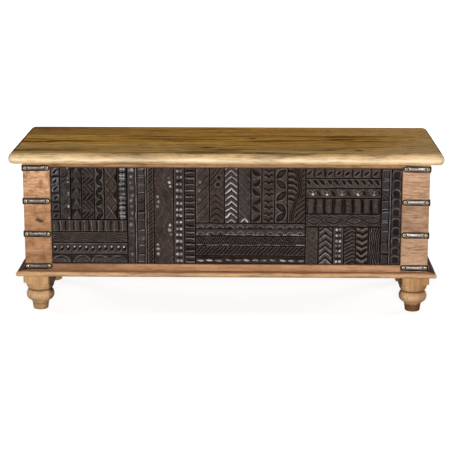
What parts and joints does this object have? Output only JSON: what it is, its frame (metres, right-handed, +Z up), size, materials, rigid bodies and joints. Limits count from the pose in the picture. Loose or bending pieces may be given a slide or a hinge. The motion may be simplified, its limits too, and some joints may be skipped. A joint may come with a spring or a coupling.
{
  "type": "storage trunk",
  "caption": "Long low wooden storage trunk with a hinged plank lid, a front of carved mosaic strips, iron corner straps, a moulded base and turned feet.",
  "frame": {"origin": "on the floor under the middle of the trunk", "axes": "+X along the front to the viewer's right, the carved front faces -Y, +Z up"},
  "size_m": [1.219, 0.457, 0.469],
  "materials": {
    "lid_mango_wood": "satin lacquer",
    "case_mango_wood": "waxed",
    "inner_mango_wood": "sanded",
    "carved_old_wood": "dark stain, worn",
    "forged_iron": "hammered",
    "brass_nail": "dull",
    "steel_fastener": "plain"
  },
  "bodies": {
    "case": {"back_board_lower": "case_mango_wood", "back_board_middle": "case_mango_wood", "back_board_upper": "case_mango_wood", "base_moulding_back": "case_mango_wood", "base_moulding_front": "case_mango_wood", "base_moulding_left": "case_mango_wood", "base_moulding_right": "case_mango_wood", "carved_strips_left_lower": "carved_old_wood", "carved_strips_left_tall": "carved_old_wood", "carved_strips_left_upper": "carved_old_wood", "carved_strips_middle_lower": "carved_old_wood", "carved_strips_middle_upper": "carved_old_wood", "carved_strips_right_lower": "carved_old_wood", "carved_strips_right_tall": "carved_old_wood", "carved_strips_right_upper": "carved_old_wood", "corner_post_back_left": "inner_mango_wood", "corner_post_back_right": "inner_mango_wood", "corner_post_front_left": "inner_mango_wood", "corner_post_front_right": "inner_mango_wood", "corner_straps_back_left": "forged_iron", "corner_straps_back_right": "forged_iron", "corner_straps_front_left": "forged_iron", "corner_straps_front_right": "forged_iron", "floor_bearer_left": "inner_mango_wood", "floor_bearer_right": "inner_mango_wood", "floor_board_1": "inner_mango_wood", "floor_board_2": "inner_mango_wood", "floor_board_3": "inner_mango_wood", "foot_back_left": "case_mango_wood", "foot_back_right": "case_mango_wood", "foot_bolts": "steel_fastener", "foot_front_left": "case_mango_wood", "foot_front_right": "case_mango_wood", "front_backing_board": "inner_mango_wood", "front_bottom_rail": "case_mango_wood", "front_stile_left": "case_mango_wood", "front_stile_right": "case_mango_wood", "front_top_rail": "case_mango_wood", "hinge_leaf_case_left": "forged_iron", "hinge_leaf_case_right": "forged_iron", "hinge_pins": "steel_fastener", "hinge_screws_case": "steel_fastener", "left_side_board_lower": "case_mango_wood", "left_side_board_middle": "case_mango_wood", "left_side_board_upper": "case_mango_wood", "right_side_board_lower": "case_mango_wood", "right_side_board_middle": "case_mango_wood", "right_side_board_upper": "case_mango_wood", "strap_nails": "brass_nail"},
    "lid": {"hinge_leaf_lid_left": "forged_iron", "hinge_leaf_lid_right": "forged_iron", "hinge_screws_lid": "steel_fastener", "lid_batten_left": "inner_mango_wood", "lid_batten_right": "inner_mango_wood", "lid_batten_screws": "steel_fastener", "lid_plank_back": "lid_mango_wood", "lid_plank_front": "lid_mango_wood", "lid_plank_middle": "lid_mango_wood"}
  },
  "joints": [
    {"name": "lid_hinge", "type": "hinge", "parent": "case", "child": "lid", "pos_m": [0, 0.198, 0.4315], "axis": [-1, 0, 0], "range_deg": [0, 105]}
  ]
}
